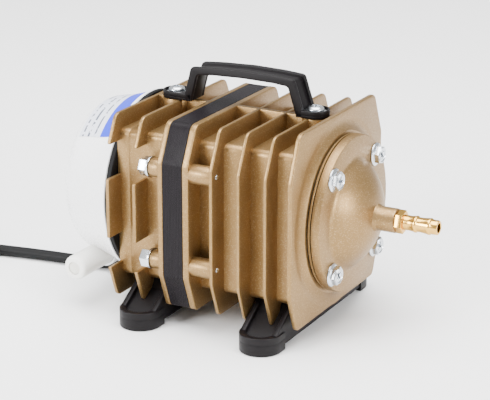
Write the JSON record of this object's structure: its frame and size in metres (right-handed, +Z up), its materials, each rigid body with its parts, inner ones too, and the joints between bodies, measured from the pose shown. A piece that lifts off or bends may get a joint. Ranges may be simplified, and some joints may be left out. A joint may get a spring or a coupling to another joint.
{
  "type": "air pump",
  "caption": "Electromagnetic piston air pump for ponds: finned gold casing, domed air end with hose barb, carry handle, black feet, white rear cap and mains lead.",
  "frame": {"origin": "floor point under the middle of the pump, halfway between the rear cap and the barb's tip, without the lead", "axes": "+X out of the air outlet along the pump's axis, +Y across the pump, +Z up"},
  "size_m": [0.4123, 0.2153, 0.1478],
  "materials": {
    "cast_gold": "satin metallic gold paint on cast aluminium",
    "black_lamination": "satin black varnished steel laminations",
    "copper": "enamelled copper wire",
    "white_plastic": "glossy white moulded plastic",
    "cream_plastic": "off-white moulded plastic",
    "white_foam": "open-cell foam",
    "steel": "machined steel",
    "spring_steel": "polished spring steel",
    "aluminium": "machined aluminium",
    "ptfe": "filled PTFE",
    "bronze": "sintered bronze",
    "zinc": "bright zinc plate",
    "brass": "turned brass",
    "black_plastic": "satin black moulded plastic",
    "black_rubber": "matt black rubber or PVC",
    "paper_label": "printed film label"
  },
  "bodies": {
    "pump": {"front_casing": "cast_gold", "rear_casing": "cast_gold", "valve_plate": "cast_gold", "dome_cover": "cast_gold", "stator_core": "black_lamination", "coil_1": "copper", "coil_2": "copper", "coil_bobbin_1": "white_plastic", "coil_bobbin_2": "white_plastic", "rear_cap": "white_plastic", "terminal_block": "white_plastic", "inlet_pipe": "cream_plastic", "inlet_filter": "white_foam", "cylinder_liner": "steel", "discharge_stop": "steel", "return_spring": "steel", "guide_bush": "bronze", "dome_screw_1": "zinc", "dome_screw_2": "zinc", "dome_screw_3": "zinc", "dome_screw_4": "zinc", "casing_bolt_1": "zinc", "casing_bolt_2": "zinc", "casing_bolt_3": "zinc", "casing_bolt_4": "zinc", "handle_screw_1": "zinc", "handle_screw_2": "zinc", "foot_screw_1": "zinc", "foot_screw_2": "zinc", "foot_screw_3": "zinc", "foot_screw_4": "zinc", "cap_screw_1": "zinc", "cap_screw_2": "zinc", "cap_screw_3": "zinc", "cap_screw_4": "zinc", "outlet_barb": "brass", "plug_pin_1": "brass", "plug_pin_2": "brass", "handle": "black_plastic", "foot_front": "black_plastic", "foot_rear": "black_plastic", "rectifier": "black_plastic", "cylinder_gasket": "black_rubber", "dome_gasket": "black_rubber", "cap_gasket": "black_rubber", "cable_gland": "black_rubber", "power_cord": "black_rubber", "cord_coil": "black_rubber", "cord_tail": "black_rubber", "plug_body": "black_rubber", "rating_label": "paper_label"},
    "piston": {"piston_head": "aluminium", "piston_ring": "ptfe", "piston_rod": "steel", "armature": "steel", "suction_stop": "steel"},
    "suction_valve": {"suction_valve": "spring_steel"},
    "discharge_valve": {"discharge_valve": "spring_steel"}
  },
  "joints": [
    {"name": "piston_stroke", "type": "slide", "parent": "pump", "child": "piston", "axis": [-1, 0, 0], "range_m": [0, 0.008], "stiffness_N_per_m": 1500, "deforming": ["return_spring"]},
    {"name": "suction_valve_lift", "type": "slide", "parent": "piston", "child": "suction_valve", "axis": [1, 0, 0], "range_m": [0, 0.0012], "stiffness_N_per_m": 40},
    {"name": "discharge_valve_lift", "type": "slide", "parent": "pump", "child": "discharge_valve", "axis": [1, 0, 0], "range_m": [0, 0.0015], "stiffness_N_per_m": 40}
  ]
}
